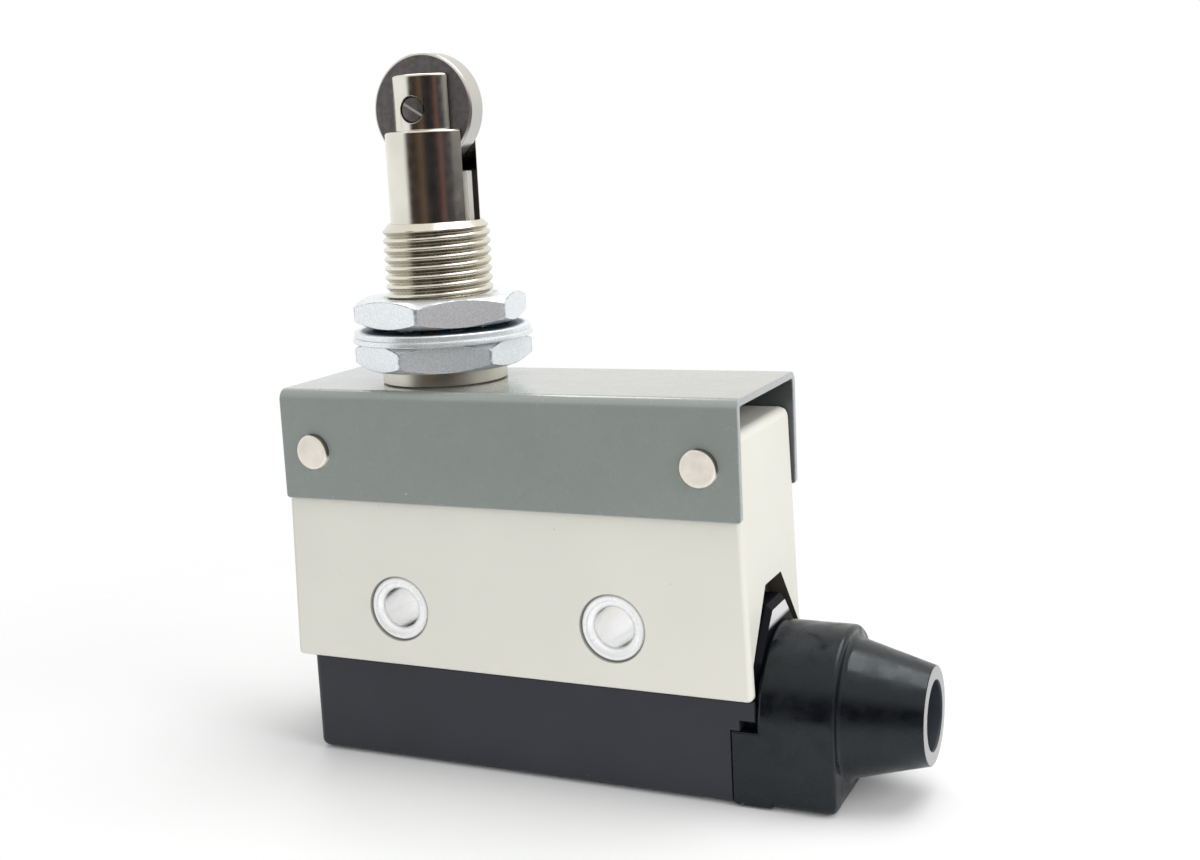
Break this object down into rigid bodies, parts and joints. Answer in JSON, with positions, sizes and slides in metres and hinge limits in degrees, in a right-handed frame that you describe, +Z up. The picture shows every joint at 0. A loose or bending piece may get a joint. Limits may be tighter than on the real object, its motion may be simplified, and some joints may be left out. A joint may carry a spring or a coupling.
{
  "type": "micro switch",
  "caption": "Enclosed micro switch with a sprung roller plunger in a threaded panel bushing, a riveted steel bracket, lined side mounting holes and a rubber cable boot.",
  "frame": {"origin": "on the plunger's axis, in the plane of the cover's underside", "axes": "+Z up along the plunger and its bushing, +X along the case towards the cable boot, +Y to the back"},
  "size_m": [0.0702, 0.0202, 0.0771],
  "materials": {
    "grey_paint": "satin paint on steel sheet",
    "ivory_plastic": "satin moulded plastic",
    "bright_metal": "bright",
    "nickel": "nickel plate",
    "zinc": "bluish zinc plate",
    "roller_steel": "turned steel",
    "spring_steel": "drawn wire",
    "black_rubber": "smooth moulded rubber",
    "black_plastic": "satin moulded plastic",
    "red_plastic": "moulded",
    "brown_plastic": "moulded phenolic",
    "blade_copper": "spring copper strip",
    "contact_silver": "silver",
    "terminal_brass": "stamped strip"
  },
  "bodies": {
    "housing": {"bracket": "grey_paint", "case": "ivory_plastic", "eyelet_left": "bright_metal", "eyelet_right": "bright_metal", "rivet_left": "nickel", "rivet_right": "nickel", "bushing": "nickel", "lower_nut": "zinc", "flat_washer": "zinc", "lock_washer": "zinc", "upper_nut": "zinc", "return_spring": "spring_steel", "seal_ring": "black_rubber", "nc_contact": "contact_silver", "no_contact": "contact_silver", "com_terminal": "terminal_brass", "nc_terminal": "terminal_brass", "no_terminal": "terminal_brass", "switch_base": "brown_plastic", "terminal_screws": "zinc", "clamp_washers": "terminal_brass", "cover": "black_plastic", "cover_gasket": "black_rubber", "cover_screw": "zinc", "cable_boot": "black_rubber"},
    "plunger": {"plunger": "nickel", "roller_pin": "roller_steel"},
    "roller": {"roller": "roller_steel"},
    "button": {"button": "red_plastic", "overtravel_spring": "spring_steel"},
    "blade": {"moving_blade": "blade_copper", "moving_contact": "contact_silver"}
  },
  "joints": [
    {"name": "plunger_slide", "type": "slide", "parent": "housing", "child": "plunger", "axis": [0, 0, -1], "range_m": [0, 0.0045], "stiffness_N_per_m": 1500, "springref_m": -0.005, "deforming": ["return_spring", "overtravel_spring"]},
    {"name": "roller_spin", "type": "hinge", "parent": "plunger", "child": "roller", "pos_m": [0, 0, 0.0711], "axis": [0, 1, 0], "continuous": true},
    {"name": "button_slide", "type": "slide", "parent": "housing", "child": "button", "axis": [0, 0, -1], "range_m": [0, 0.00038]},
    {"name": "blade_swing", "type": "hinge", "parent": "housing", "child": "blade", "pos_m": [-0.0085, 0, 0.02515], "axis": [0, 1, 0], "range_deg": [0, 2.65]}
  ],
  "couplings": [
    {"joint": "button_slide", "follows": "plunger_slide", "ratio": 0.084},
    {"joint": "blade_swing", "follows": "plunger_slide", "rad_per_m": 10}
  ]
}
